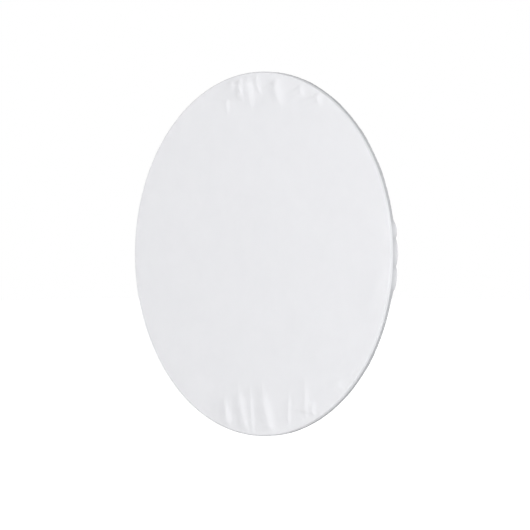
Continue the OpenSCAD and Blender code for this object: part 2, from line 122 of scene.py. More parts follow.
def optical_points(radius, angle, depth):
    """Row-frame points from radius, angle about the axis and depth."""
    return np.stack([radius * np.cos(angle), -depth, radius * np.sin(angle)], axis=-1)


def run_along(profile, start=0.0):
    """Distance along a profile of radius and depth at each of its points."""
    return start + np.concatenate([[0], np.cumsum(np.hypot(*np.diff(profile, axis=0).T))])


def ring_faces(rings, around, closed=False, base=0):
    """Quads between rings of vertices, from vertex base on. closed also joins the last ring to the first."""
    faces = []
    for i in range(rings if closed else rings - 1):
        a, b = base + i * around, base + ((i + 1) % rings) * around
        for j in range(around):
            k = (j + 1) % around
            faces.append((a + j, a + k, b + k, b + j))
    return faces


def tube_faces(rings, sides, base):
    """Faces of a tube of vertex rings from vertex base on, with both of its ends capped."""
    first = tuple(base + k for k in reversed(range(sides)))
    last = tuple(base + (rings - 1) * sides + k for k in range(sides))
    return ring_faces(rings, sides, base=base) + [first, last]


def outward(piece):
    """Makes all faces of a closed piece point outwards."""
    mesh = bmesh.new()
    mesh.from_mesh(piece.data)
    bmesh.ops.recalc_face_normals(mesh, faces=mesh.faces)
    mesh.to_mesh(piece.data)
    mesh.free()
    return piece


def outward_sheet(piece):
    """Makes an open sheet's faces point away from the dish's inside."""
    if piece.data.polygons[0].normal.y > 0:
        piece.data.flip_normals()
    return piece


def solidified(piece, thickness):
    """Gives a sheet its thickness, towards the inside, and keeps the result as plain mesh."""
    modifier = piece.modifiers.new("thickness", "SOLIDIFY")
    modifier.thickness = thickness
    modifier.offset = -1.0
    modifier.use_quality_normals = True
    bpy.context.view_layer.update()
    graph = bpy.context.evaluated_depsgraph_get()
    mesh = bpy.data.meshes.new_from_object(piece.evaluated_get(graph))
    piece.modifiers.clear()
    piece.data = mesh


def dress(piece, material):
    """Puts one material on the whole of a piece."""
    piece.data.materials.clear()
    piece.data.materials.append(material)


# A stitch is a short tube of rings: each ring's share of the length and its share of the full thickness.
STITCH_SIDES = 6
STITCH_RINGS = ((0.0, 0.35), (0.18, 1.0), (0.82, 1.0), (1.0, 0.35))


def thread(name, starts, ends, radius):
    """Short rounded stitches, each from its start point to its end point."""
    verts, faces = [], []
    for start, end in zip(starts, ends):
        start, end = Vector(start), Vector(end)
        along = (end - start).normalized()
        side = along.orthogonal().normalized()
        other = along.cross(side)
        faces += tube_faces(len(STITCH_RINGS), STITCH_SIDES, len(verts))
        for share, swell in STITCH_RINGS:
            centre = start.lerp(end, share)
            for k in range(STITCH_SIDES):
                turn = TAU * k / STITCH_SIDES
                verts.append(centre + radius * swell * (math.cos(turn) * side + math.sin(turn) * other))
    return build_object(name, verts, faces)


def waves(angle, count, spread, seed):
    """A smooth irregular wave round the rim, about count waves long and roughly within -1 to 1."""
    random = np.random.default_rng(seed)
    parts, level = 9, 0.55
    total = np.zeros_like(angle)
    for _ in range(parts):
        number = max(1, int(round(random.normal(count, spread))))
        total += random.uniform(0.5, 1.0) * np.sin(number * angle + random.uniform(0, TAU))
    return total / (level * parts)


def smooth(value):
    """A ramp from 0 to 1 with no corners."""
    value = np.clip(value, 0, 1)
    return value * value * (3 - 2 * value)


# ---------------------------------------------------------------- material helpers

class Finish:
    """A procedural material: a Principled shader with its texture nodes."""

    def __init__(self, name, colour, rough, metal=0.0, specular=0.5):
        self.material = bpy.data.materials.new(name)
        self.material.use_nodes = True
        self.tree = self.material.node_tree
        self.tree.nodes.clear()
        self.output = self.tree.nodes.new("ShaderNodeOutputMaterial")
        self.shader = self.tree.nodes.new("ShaderNodeBsdfPrincipled")
        self.link(self.shader.outputs[0], self.output.inputs["Surface"])
        self.set(**{"Base Color": (*colour, 1), "Roughness": rough, "Metallic": metal,
                    "Specular IOR Level": specular})
        self.normal = None
        self.geometry = self.add("ShaderNodeTexCoord")

    def add(self, kind, settings=None, **values):
        """A new node with its settings, and values or links for its inputs by name, or by number as _0."""
        node = self.tree.nodes.new(kind)
        for key, value in (settings or {}).items():
            setattr(node, key, value)
        for key, value in values.items():
            self.feed(node.inputs[int(key[1:]) if key[0] == "_" else key.replace("_", " ")], value)
        return node

    def feed(self, socket, value):
        """Links a socket to another node's output, or sets its value."""
        if hasattr(value, "links"):
            self.link(value, socket)
        else:
            socket.default_value = value

    def link(self, source, target):
        """Joins an output to an input."""
        self.tree.links.new(source, target)

    def set(self, **values):
        """Sets or links the shader's own inputs by name."""
        for key, value in values.items():
            self.feed(self.shader.inputs[key], value)

    def math(self, operation, a, b=0.0):
        """One sum on factors."""
        return self.add("ShaderNodeMath", {"operation": operation}, _0=a, _1=b).outputs[0]

    def noise(self, scale, detail=3.0, vector=None, rough=0.55):
        """Noise of a given scale per metre, as a factor about 0.5."""
        vector = vector or self.geometry.outputs["Object"]
        node = self.add("ShaderNodeTexNoise", Scale=scale, Detail=detail, Roughness=rough, Vector=vector)
        return node.outputs["Fac"]

    def remap(self, factor, low, high, out_low, out_high):
        """A factor's run from low to high stretched to run from out_low to out_high, and held there."""
        return self.add("ShaderNodeMapRange", None, Value=factor, From_Min=low, From_Max=high,
                        To_Min=out_low, To_Max=out_high).outputs[0]

    def uneven(self, scale, detail, low, high, reach=0.2, rough=0.55):
        """Noise that runs from low to high. A smaller reach about its middle gives harder patches."""
        return self.remap(self.noise(scale, detail, rough=rough), 0.5 - reach, 0.5 + reach, low, high)

    def mix(self, factor, first, second):
        """Two colours mixed by a factor."""
        node = self.add("ShaderNodeMix", {"data_type": "RGBA"}, _0=factor)
        for socket, colour in ((node.inputs[6], first), (node.inputs[7], second)):
            self.feed(socket, colour if hasattr(colour, "links") else (*colour, 1))
        return node.outputs[2]

    def mottle(self, scale, detail, first, second, reach=0.2, rough=0.55):
        """Two colours in soft patches."""
        return self.mix(self.uneven(scale, detail, 0.0, 1.0, reach, rough), first, second)

    def rounded_edges(self, radius):
        """Softens sharp edges in the shading, and keeps the result as the base of every bump."""
        self.normal = self.add("ShaderNodeBevel", {"samples": 6}, Radius=radius).outputs[0]
        self.set(Normal=self.normal)

    def bump(self, height, distance, strength=1.0):
        """Raises the surface by height times distance, on top of the bumps so far."""
        node = self.add("ShaderNodeBump", None, Height=height, Distance=distance, Strength=strength)
        if self.normal:
            self.link(self.normal, node.inputs["Normal"])
        self.normal = node.outputs[0]
        self.set(Normal=self.normal)

    def edge_wear(self, radius, base, worn, amount):
        """The base colour, with a worn colour on convex edges, broken up by noise."""
        bevel = self.add("ShaderNodeBevel", {"samples": 6}, Radius=radius).outputs[0]
        plain = self.add("ShaderNodeNewGeometry").outputs["Normal"]
        facing = self.add("ShaderNodeVectorMath", {"operation": "DOT_PRODUCT"}, _0=bevel, _1=plain)
        edge = self.remap(facing.outputs["Value"], 0.97, 0.86, 0.0, 1.0)
        patches = self.remap(self.noise(260, 4), 0.5, 0.68, 0.0, amount)
        return self.mix(self.math("MULTIPLY", edge, patches), base, worn)

    def cloth_axes(self, pitch_u, pitch_v):
        """Sine waves across and along the cloth, each with its pitch in metres, within 0 to 1."""
        split = self.add("ShaderNodeSeparateXYZ", None, Vector=self.geometry.outputs["UV"])
        out = []
        for socket, pitch in ((split.outputs[0], pitch_u), (split.outputs[1], pitch_v)):
            wave = self.math("SINE", self.math("MULTIPLY", socket, TAU / pitch))
            out.append(self.remap(wave, -1, 1, 0, 1))
        return out

    def from_axis(self):
        """Distance from the optical axis, then X, Y and Z."""
        split = self.add("ShaderNodeSeparateXYZ", None, Vector=self.geometry.outputs["Object"])
        x, y, z = split.outputs
        flat = self.add("ShaderNodeCombineXYZ", None, X=x, Y=z).outputs[0]
        return self.add("ShaderNodeVectorMath", {"operation": "LENGTH"}, _0=flat).outputs["Value"], x, y, z

    def polar(self, scale_r, scale_y, scale_a):
        """Coordinates that run round the optical axis, for turned and rolled metal."""
        radius, x, y, z = self.from_axis()
        angle = self.math("ARCTAN2", z, x)
        run = [self.math("MULTIPLY", value, scale)
               for value, scale in ((radius, scale_r), (y, scale_y), (angle, scale_a))]
        return self.add("ShaderNodeCombineXYZ", None, X=run[0], Y=run[1], Z=run[2]).outputs[0]


# ---------------------------------------------------------------- cloth materials

WALE_PITCH, COURSE_PITCH = 0.9 * MM, 0.7 * MM
RIM_AND_SHADE_COLOUR = (0.3, 0.306, 0.318)  # the cover's cloth where the black rim lies close behind it, also used as painted shade on the front corner and side
FRONT_RIM_AND_SHADE, SIDE_RIM_AND_SHADE = 0.42, 0.85  # how far the cloth goes to that colour at the front corner and behind it: part rim show-through, part painted shade


def cover_knit():
    """White stretch diffusion knit: fine wales, soft sheen, and greyer at the front corner and down the side,
    part where the black rim shows through and part painted shade.
    """
    f = Finish("cover_knit", (0.8, 0.8, 0.8), 0.82, specular=0.25)
    wales, courses = f.cloth_axes(WALE_PITCH, COURSE_PITCH)
    loops = f.math("MULTIPLY", wales, courses)
    tone = f.mottle(26, 6, (0.789, 0.79, 0.810), (0.811, 0.811, 0.830), rough=0.7)
    tone = f.mix(f.math("MULTIPLY", loops, 0.3), tone, (0.908, 0.908, 0.928))
    radius, _, y, _ = f.from_axis()
    # Painted shade: the knit is greyed at the front corner and down the side, which is partly the black rim
    # showing through and partly shade painted into the colour.
    corner_rim_and_shade = f.remap(radius, COVER_R - 2.4 * MM, COVER_R - 0.6 * MM, 0.0, FRONT_RIM_AND_SHADE)
    side_rim_and_shade = f.remap(y, -SLEEVE_FRONT + 2.6 * MM, -SLEEVE_FRONT + 4 * MM, 0.0, SIDE_RIM_AND_SHADE)
    stand = f.add("ShaderNodeAttribute", {"attribute_name": "stand"}).outputs["Fac"]
    side_rim_and_shade = f.math("MULTIPLY", side_rim_and_shade, f.remap(stand, 0.1, 0.9, 1.0, 0.5))
    f.set(**{"Base Color": f.mix(f.math("MAXIMUM", corner_rim_and_shade, side_rim_and_shade), tone, RIM_AND_SHADE_COLOUR),
             "Sheen Weight": 0.18, "Sheen Roughness": 0.4})
    f.bump(loops, 0.12 * MM, 0.7)
    f.bump(f.noise(420, 3), 0.08 * MM, 0.35)
    glow = f.add("ShaderNodeBsdfTranslucent", None, Color=(0.82, 0.83, 0.85, 1))
    blend = f.add("ShaderNodeMixShader", None, _0=0.16, _1=f.shader.outputs[0], _2=glow.outputs[0])
    f.link(blend.outputs[0], f.output.inputs["Surface"])
    return f.material


def cover_elastic():
    """The cased elastic of the cover's hem: tight ribs across a slightly greyer white."""
    f = Finish("cover_elastic", (0.76, 0.765, 0.775), 0.78, specular=0.25)
    ribs, rows = f.cloth_axes(1.5 * MM, 0.9 * MM)
    weave = f.math("MAXIMUM", ribs, f.math("MULTIPLY", rows, 0.5))
    f.set(**{"Base Color": f.mix(weave, (0.5, 0.51, 0.525), (0.7, 0.708, 0.72)), "Sheen Weight": 0.12})
    f.bump(weave, 0.16 * MM, 0.7)
    return f.material


def woven(name, dark, light, pitch, rough, sheen):
    """A plain weave: over-and-under threads in two tones."""
    f = Finish(name, dark, rough, specular=0.35)
    warp, weft = f.cloth_axes(pitch, pitch)
    checks = f.math("ABSOLUTE", f.math("SUBTRACT", warp, weft))
    patches = f.uneven(22, 5, 0.0, 1.0, reach=0.15)
    f.set(**{"Base Color": f.mix(f.math("MULTIPLY", patches, 0.25), f.mix(checks, dark, light), light),
             "Sheen Weight": sheen, "Sheen Roughness": 0.45,
             "Roughness": f.uneven(40, 4, rough - 0.07, rough + 0.07)})
    f.bump(checks, 0.16 * MM, 0.8)
    f.bump(f.noise(160, 4), 0.12 * MM, 0.4)
    return f.material


def silver_lining():
    """Silver coated cloth, pressed with a fine pebble that breaks up the light."""
    f = Finish("silver_lining", (0.72, 0.73, 0.745), 0.34, metal=0.72)
    uv = f.geometry.outputs["UV"]
    pebble = f.add("ShaderNodeTexVoronoi", {"feature": "SMOOTH_F1"}, Scale=420, Vector=uv).outputs[0]
    f.set(**{"Base Color": f.mottle(30, 4, (0.66, 0.67, 0.69), (0.8, 0.805, 0.815)),
             "Roughness": f.uneven(55, 3, 0.26, 0.42)})
    f.bump(pebble, 0.35 * MM, 0.6)
    f.bump(f.noise(90, 4), 0.3 * MM, 0.4)
    return f.material


def sewing_thread(name, colour):
    """Twisted polyester thread."""
    f = Finish(name, colour, 0.5, specular=0.4)
    f.set(**{"Sheen Weight": 0.3})
    f.bump(f.noise(2600, 2), 0.08 * MM, 0.8)
    return f.material


# ---------------------------------------------------------------- hard materials

def powder_coat():
    """Black powder coat on cast metal, worn to grey primer along its edges."""
    f = Finish("powder_coat", (0.014, 0.014, 0.015), 0.42)
    f.rounded_edges(0.4 * MM)
    black = f.mottle(60, 4, (0.010, 0.010, 0.011), (0.020, 0.020, 0.022), reach=0.15)
    f.set(**{"Base Color": f.edge_wear(0.5 * MM, black, (0.2, 0.2, 0.205), 0.75),
             "Roughness": f.uneven(320, 3, 0.36, 0.5)})
    f.bump(f.noise(1500, 2), 0.05 * MM, 0.5)
    return f.material


def moulded_plastic():
    """Black glass-filled nylon with a fine spark texture, rubbed grey along its edges."""
    f = Finish("moulded_plastic", (0.025, 0.025, 0.027), 0.56, specular=0.4)
    f.rounded_edges(0.35 * MM)
    black = f.mottle(45, 4, (0.012, 0.012, 0.014), (0.024, 0.024, 0.026), reach=0.15)
    f.set(**{"Base Color": f.edge_wear(0.4 * MM, black, (0.13, 0.13, 0.135), 0.6),
             "Roughness": f.uneven(500, 3, 0.5, 0.66)})
    f.bump(f.noise(2400, 2), 0.06 * MM, 0.6)
    return f.material


def turned_metal(name, colour, rough, marks=2600):
    """Metal with fine marks that run round the optical axis."""
    f = Finish(name, colour, rough, metal=1.0)
    f.rounded_edges(0.3 * MM)
    rings = f.noise(1.0, 2, vector=f.polar(marks, marks, 1.6))
    darker = tuple(0.82 * c for c in colour)
    f.set(**{"Base Color": f.mottle(28, 5, darker, colour, reach=0.15),
             "Roughness": f.remap(rings, 0.3, 0.7, rough - 0.08, rough + 0.1), "Anisotropic": 0.4})
    f.bump(rings, 0.02 * MM, 0.5)
    return f.material


def drawn_metal(name, colour, rough, metal=1.0):
    """Drawn and anodised tube or rod: satin, with faint smudges."""
    f = Finish(name, colour, rough, metal=metal)
    f.rounded_edges(0.2 * MM)
    darker = tuple(0.8 * c for c in colour)
    f.set(**{"Base Color": f.mottle(70, 5, darker, colour, reach=0.15),
             "Roughness": f.uneven(240, 4, rough - 0.07, rough + 0.09)})
    f.bump(f.noise(1800, 3), 0.015 * MM, 0.4)
    return f.material


def white_enamel():
    """Satin white enamel with a faint orange-peel surface."""
    f = Finish("white_enamel", (0.7, 0.705, 0.715), 0.32)
    f.rounded_edges(0.4 * MM)
    f.set(**{"Base Color": f.mottle(50, 4, (0.67, 0.675, 0.685), (0.71, 0.715, 0.725)),
             "Roughness": f.uneven(200, 3, 0.28, 0.38)})
    f.bump(f.noise(700, 2), 0.04 * MM, 0.4)
    return f.material


def natural_nylon():
    """Turned natural nylon, slightly see-through at its edges."""
    f = Finish("natural_nylon", (0.74, 0.71, 0.63), 0.45)
    f.rounded_edges(0.25 * MM)
    f.set(**{"Base Color": f.mottle(80, 4, (0.7, 0.67, 0.58), (0.78, 0.755, 0.68)),
             "Subsurface Weight": 0.15, "Subsurface Radius": (1.2 * MM, 0.9 * MM, 0.6 * MM),
             "Subsurface Scale": 1.0})
    f.bump(f.noise(1.0, 3, vector=f.polar(1800, 1800, 4)), 0.03 * MM, 0.5)
    return f.material


def finish_hard_parts():
    """Gives every CAD node that stays its finish."""
    casting = powder_coat()
    plastic = moulded_plastic()
    nylon = natural_nylon()
    bright = drawn_metal("bright_aluminium", (0.74, 0.745, 0.755), 0.27)
    zinc = drawn_metal("zinc_plate", (0.58, 0.585, 0.6), 0.34)
    finishes = {
        "mount_body": casting, "hub_housing": casting, "clamp_ring": casting,
        "bayonet_ring": turned_metal("bayonet_steel", (0.62, 0.625, 0.635), 0.26),
        "retaining_circlip": turned_metal("spring_steel", (0.23, 0.235, 0.25), 0.33),
        "rim_band": turned_metal("rolled_aluminium", (0.7, 0.705, 0.715), 0.34, marks=1500),
        "bayonet_screws": zinc, "clamp_screws": zinc, "hub_hinge_pins": zinc,
        "deflector_nuts": zinc, "knob_stud": zinc,
        "guide_bushes": nylon, "rotation_bush": nylon, "glide_washer": nylon,
        "deflector_plate": white_enamel(), "deflector_posts": bright, "rim_rivets": bright,
        "lock_knob": plastic, "rim_brackets": plastic,
    }
    black_tube = drawn_metal("black_anodised_tube", (0.035, 0.035, 0.04), 0.36, metal=0.6)
    for stay in range(1, 7):
        finishes[f"stay_foot_{stay}"] = plastic
        finishes[f"stay_collar_{stay}"] = plastic
        finishes[f"stay_tip_{stay}"] = plastic
        finishes[f"stay_tube_{stay}"] = black_tube
        finishes[f"stay_rod_{stay}"] = bright
    for node, material in finishes.items():
        dress(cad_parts[node], material)


# ---------------------------------------------------------------- the stretch cover

CLOTH = 0.55 * MM
AROUND = 1200
FRONT_CORNER, CORNER_STEPS = 2.6 * MM, 6
REAR_CORNER, REAR_STEPS = 2.2 * MM, 5
SIDE_STEPS = 6
HEM_SLOPE = math.radians(16)
HEM_WIDTH, HEM_STEPS = 19 * MM, 14
GATHERS = 62
HEM_NOTCHES = (-11.2, -3.8, 4.7, 9.8)  # degrees on the rim, between the loose lobes of the hem

# How far the cloth moves, in millimetres: gathers on the side and on the hem, then lobes and bulges.
SIDE_GATHER, HEM_GATHER = 0.15, 3.2
LOBE_OUT, LOBE_BACK = 1.6, 5.2
BULGE_OUT, BULGE_BACK = 0.7, 1.1

# The cased elastic along the hem's edge, a flattened tube, and its stitches.
CASING_WIDTH, CASING_SIDES = 8 * MM, 14
CASING_HALF_THICK, CASING_LIFT = 0.62 * MM, 0.2 * MM
CASING_OVERHANG = 0.6 * MM
RUFFLE = 0.28 * MM
HEM_STITCHES, STITCH_SHARE = 430, 0.66

# Pull lines on the face: angle on the rim, lean from the inward radius, start behind the rim, length, and the
# steep flank's width and slope. Angles and leans are in degrees, lengths in millimetres.
PULLS = (
    # at the top
    (100.8, 2, 5, 27, 7, 0.17), (96.9, 3, 4, 58, 9, 0.28), (93.2, 3, 4, 74, 12, 0.22),
    (89.8, 20, 3, 46, 7, 0.22), (80.9, 23, 7, 72, 12, 0.22), (69.7, 43, 7, 30, 8, 0.15),
    (61.5, 43, 5, 32, 9, 0.18), (104.5, -15, 36, 38, 7, 0.16),
    # at the bottom
    (258.8, 25, 4, 80, 11, 0.23), (267.0, 22, 3, 108, 12, 0.22), (269.3, 9, 2, 104, 7, 0.20),
    (278.4, 10, 1, 112, 14, 0.22), (285.2, -18, 10, 78, 6, 0.20), (293.6, -20, 8, 94, 8, 0.18),
    (296.8, -33, 8, 32, 8, 0.19), (311.6, -30, 12, 28, 11, 0.11),
    # faint ones in between
    (188, 10, 8, 34, 12, 0.04), (158, -12, 8, 40, 12, 0.04), (214, 14, 8, 46, 12, 0.05),
    (236, 18, 8, 44, 12, 0.05), (128, -14, 8, 36, 12, 0.05), (322, -8, 8, 36, 12, 0.05),
    (4, 12, 5, 60, 14, 0.04), (355.5, 66, 6, 112, 16, 0.07),
)
PULL_WANDER = 2 * MM
PULL_SHOULDER = 40 * MM
CREASE_REACH, CREASE_HEIGHT = 70 * MM, 0.07 * MM
SLACK_HEIGHT = 0.16 * MM


def pull_line(x, z, where, lean, start, length, width, slope):
    """Height of one pull line: a steep flank on one side of its crest, a wide soft shoulder on the other."""
    at = math.radians(where)
    heading = at + math.pi + math.radians(lean)
    from_x = x - (COVER_R - start * MM) * math.cos(at)
    from_z = z - (COVER_R - start * MM) * math.sin(at)
    along = (from_x * math.cos(heading) + from_z * math.sin(heading)) / (length * MM)
    across = math.copysign(1, -math.sin(heading)) * (from_z * math.cos(heading) - from_x * math.sin(heading))
    # It wanders from a straight line, by an amount that differs from line to line.
    across = across + PULL_WANDER * np.sin(2.2 * along) * math.sin(where)
    # The line rises quickly, dies out slowly and narrows at both ends.
    ends = smooth((along + 0.08) / 0.3) * smooth((1.05 - along) / 0.55)
    steep = width * MM * (0.35 + 0.65 * ends)
    # The crest stands to one side, so the middle of the steep flank lies on the line.
    off = across + 0.7 * steep
    crest = np.exp(-(off / steep) ** 2)
    shoulder = 0.45 * crest + 0.55 * np.exp(-(off / PULL_SHOULDER) ** 2)
    return slope * steep * ends * np.where(off > 0, crest, shoulder)


def face_relief(radius, angle):
    """How far the stretched face stands forward: pull lines, faint creases near the rim and a slow wander."""
    x, z = radius * np.cos(angle), radius * np.sin(angle)
    total = np.zeros_like(x)
    for line in PULLS:
        total += pull_line(x, z, *line)
    inset = COVER_R - radius
    creases = waves(angle, 46, 12, 3) * (1 - smooth(inset / CREASE_REACH)) * smooth(inset / (6 * MM))
    total += CREASE_HEIGHT * creases
    total += SLACK_HEIGHT * np.sin(x / 0.041 + 1.3) * np.sin(z / 0.057 + 0.4) * smooth(inset / 0.12)
    return total


def hem_lobes(angle):
    """Where the hem hangs loose on the +X side: three soft lobes between four notches, 0 elsewhere."""
    turn = np.degrees((angle + math.pi) % TAU - math.pi)
    # The window opens over 3 degrees across the first notch and closes over 2.5 across the last.
    window = smooth((turn - HEM_NOTCHES[0] + 2.0) / 3) * smooth((HEM_NOTCHES[-1] + 1.6 - turn) / 2.5)
    lobes = np.abs(np.sin(np.pi * np.interp(turn, HEM_NOTCHES, range(len(HEM_NOTCHES))))) ** 0.7
    return window * (0.25 + 0.75 * lobes)


def hem_bulges(angle):
    """Small uneven bulges of the gathered edge all the way round."""
    return np.clip(waves(angle, 23, 7, 11), 0, None)


def gather_folds(angle):
    """Rounded folds with sharp valleys, wide ones broken up by narrow ones, from 0 to about 1."""
    wide = np.abs(waves(angle, GATHERS, 9, 5)) ** 0.75
    narrow = np.abs(waves(angle, 2 * GATHERS, 16, 8)) ** 0.75
    return 0.5 * wide + 0.5 * narrow * (0.5 + 0.5 * wide)


def cover_profile():
    """Stations from the centre of the face to the edge of the hem.

    Each is radius, depth, the outward normal's two parts and three shares: on the face, down the side and
    down the hem. The side's share is 0.08 where the front corner ends, the hem's 0.2 where the rear one does.
    """
    flat_r = COVER_R - FRONT_CORNER
    radii = np.concatenate([np.linspace(4 * MM, 0.2, 22), np.linspace(0.2, 0.3, 22)[1:],
                            np.linspace(0.3, flat_r, 26)[1:]])
    stations = [(radius, COVER_FRONT, 0.0, 1.0, 1.0, 0.0, 0.0) for radius in radii]
    front_z = COVER_FRONT - FRONT_CORNER
    for step in range(1, CORNER_STEPS + 1):
        a = math.pi / 2 * (1 - step / CORNER_STEPS)
        stations.append((flat_r + FRONT_CORNER * math.cos(a), front_z + FRONT_CORNER * math.sin(a),
                         math.cos(a), math.sin(a), 0.0, 0.013 * step, 0.0))
    rear_r, rear_z = COVER_R - REAR_CORNER, SLEEVE_REAR + 0.2 * MM
    for step in range(1, SIDE_STEPS + 1):
        depth = front_z + (rear_z - front_z) * step / SIDE_STEPS
        stations.append((COVER_R, depth, 1.0, 0.0, 0.0, 0.08 + 0.92 * step / SIDE_STEPS, 0.0))
    for step in range(1, REAR_STEPS + 1):
        a = -(math.pi / 2 - HEM_SLOPE) * step / REAR_STEPS
        stations.append((rear_r + REAR_CORNER * math.cos(a), rear_z + REAR_CORNER * math.sin(a),
                         math.cos(a), math.sin(a), 0.0, 1.0, 0.04 * step))
    end_r, end_z, normal_r, normal_z = stations[-1][:4]
    for step in range(1, HEM_STEPS + 1):
        share = step / HEM_STEPS
        stations.append((end_r - share * HEM_WIDTH * math.cos(HEM_SLOPE),
                         end_z - share * HEM_WIDTH * math.sin(HEM_SLOPE),
                         normal_r, normal_z, 0.0, 1.0, 0.2 + 0.8 * share))
    return np.array(stations)


def gathered(stations, angle, lift=0.0):
    """Moves profile stations with the gathers, the loose lobes and the small bulges of the hem."""
    radius, depth, normal_r, normal_z, on_face, side, hem = (stations[:, i][:, None] for i in range(7))
    turn = np.broadcast_to(angle[None, :], (len(stations), len(angle)))
    push = (SIDE_GATHER * side ** 2 + HEM_GATHER * hem ** 0.7) * gather_folds(turn) * MM + lift
    lobes, bulges = hem_lobes(turn), hem_bulges(turn)
    loose = smooth(side) * (1 - 0.35 * hem)
    spread = (LOBE_OUT * lobes + BULGE_OUT * bulges) * loose * MM
    back = (LOBE_BACK * lobes + BULGE_BACK * bulges) * loose * smooth(side) * MM
    out = radius + push * normal_r * (1 - on_face) + spread
    ahead = depth + push * normal_z * (1 - on_face) - back
    return out, ahead + on_face * face_relief(radius + 0 * turn, turn), turn


def build_cover():
    """The white stretch cover: face, side and gathered skirt in one sheet."""
    angle = np.arange(AROUND) * TAU / AROUND
    stations = cover_profile()
    out, ahead, turn = gathered(stations, angle)
    points = optical_points(out, turn, ahead).reshape(-1, 3)
    run = run_along(stations[:, :2], stations[0, 0])[:, None]
    uvs = np.stack([run * np.cos(turn), run * np.sin(turn)], -1).reshape(-1, 2)
    centre_y = -COVER_FRONT - float(face_relief(np.zeros(1), np.zeros(1))[0])
    verts = np.vstack([points, [[0, centre_y, 0]]])
    middle = len(points)
    faces = ring_faces(len(stations), AROUND)
    faces += [(middle, (j + 1) % AROUND, j) for j in range(AROUND)]
    cover = outward_sheet(build_object("cover_cloth", verts, faces, np.vstack([uvs, [[0, 0]]])))
    side, hem = stations[:, 5][:, None], stations[:, 6][:, None]
    folds = gather_folds(turn) * hem ** 0.5 + 0.8 * hem_lobes(turn) * side
    stand = cover.data.attributes.new("stand", "FLOAT", "POINT")
    stand.data.foreach_set("value", np.append(np.clip(folds, 0, 1).ravel(), 0).astype(np.float32))
    solidified(cover, CLOTH)
    dress(cover, cover_knit())
    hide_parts("cover_face", "cover_skirt")
    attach(cover, "cover")
    build_hem(stations[-1], angle)


def hem_station(end, reach):
    """A station on the hem at a distance in from its edge. end is the profile's last station."""
    radius, depth = end[:2] + np.array([math.cos(HEM_SLOPE), math.sin(HEM_SLOPE)]) * (reach - CASING_OVERHANG)
    return radius, depth, end[2], end[3], 0.0, 1.0, 1.0 - 0.8 * reach / HEM_WIDTH


def ruffled(stations, angle, lift):
    """Points and angles of stations that follow the gathers and the elastic's own fine ruffle."""
    out, ahead, turn = gathered(stations, angle, lift)
    ruffle = RUFFLE * waves(turn, 190, 30, 21)
    normal_r, normal_z = stations[0, 2:4]
    return optical_points(out + ruffle * normal_r, turn, ahead + ruffle * normal_z).reshape(-1, 3), turn


def build_hem(end, angle):
    """The cased elastic, which follows the gathers, and its two rows of stitches."""
    section, lifts = [], []
    for k in range(CASING_SIDES):
        a = TAU * k / CASING_SIDES
        reach = CASING_WIDTH / 2 * (1 + math.copysign(abs(math.cos(a)) ** 0.6, math.cos(a)))
        section.append(hem_station(end, reach))
        lifts.append([CASING_LIFT + CASING_HALF_THICK * math.copysign(abs(math.sin(a)) ** 0.7, math.sin(a))])
    points, turn = ruffled(np.array(section), angle, np.array(lifts))
    share = np.arange(CASING_SIDES)[:, None] / CASING_SIDES
    uvs = np.stack([turn, share * CASING_WIDTH * 2 + 0 * turn], -1).reshape(-1, 2)
    faces = ring_faces(CASING_SIDES, AROUND, closed=True)
    casing = outward(build_object("cover_hem_casing", points, faces, uvs, one_wrap(points)))
    dress(casing, cover_elastic())
    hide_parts("hem_elastic")
    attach(casing, "cover")

    starts, ends = [], []
    first = np.arange(HEM_STITCHES) * TAU / HEM_STITCHES
    for reach in (1.2 * MM, CASING_WIDTH - 1.2 * MM):
        row = np.array([hem_station(end, reach)])
        for store, step in ((starts, 0.0), (ends, STITCH_SHARE * TAU / HEM_STITCHES)):
            store.extend(ruffled(row, first + step, 0.9 * MM)[0])
    stitches = thread("cover_hem_stitches", starts, ends, 0.28 * MM)
    dress(stitches, sewing_thread("white_thread", (0.85, 0.85, 0.86)))
    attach(stitches, "cover")


# ---------------------------------------------------------------- shell and lining

GORES = 12
GORE = TAU / GORES
SHELL_AROUND = 720
SHELL_INNER_R = CLAMP_R - 22 * MM
SHELL_OUTER_R = SLEEVE_IN_R + 0.2 * MM
SHEET_THICK = 0.45 * MM
CONE_RUN = 1.14  # distance along the cone for each metre of radius
SEAM_PITCH, SEAM_STITCH = 5.2 * MM, 3.3 * MM
TAPE_HALF_WIDTH = 5.0 * MM
TAPE_STATIONS = 70
# The seam tape's section: shares of its half width, and heights in millimetres, where less is further out.
TAPE_SECTION = ((-1.0, 0.25), (-0.9, -0.1), (-0.45, -0.3), (0.0, -0.42),
                (0.45, -0.3), (0.9, -0.1), (1.0, 0.25))


def seam_distance(angle, radius):
    """Distance from the nearest gore seam. The first seam is half a gore from the X axis."""
    return np.abs(angle % GORE - GORE / 2) * radius


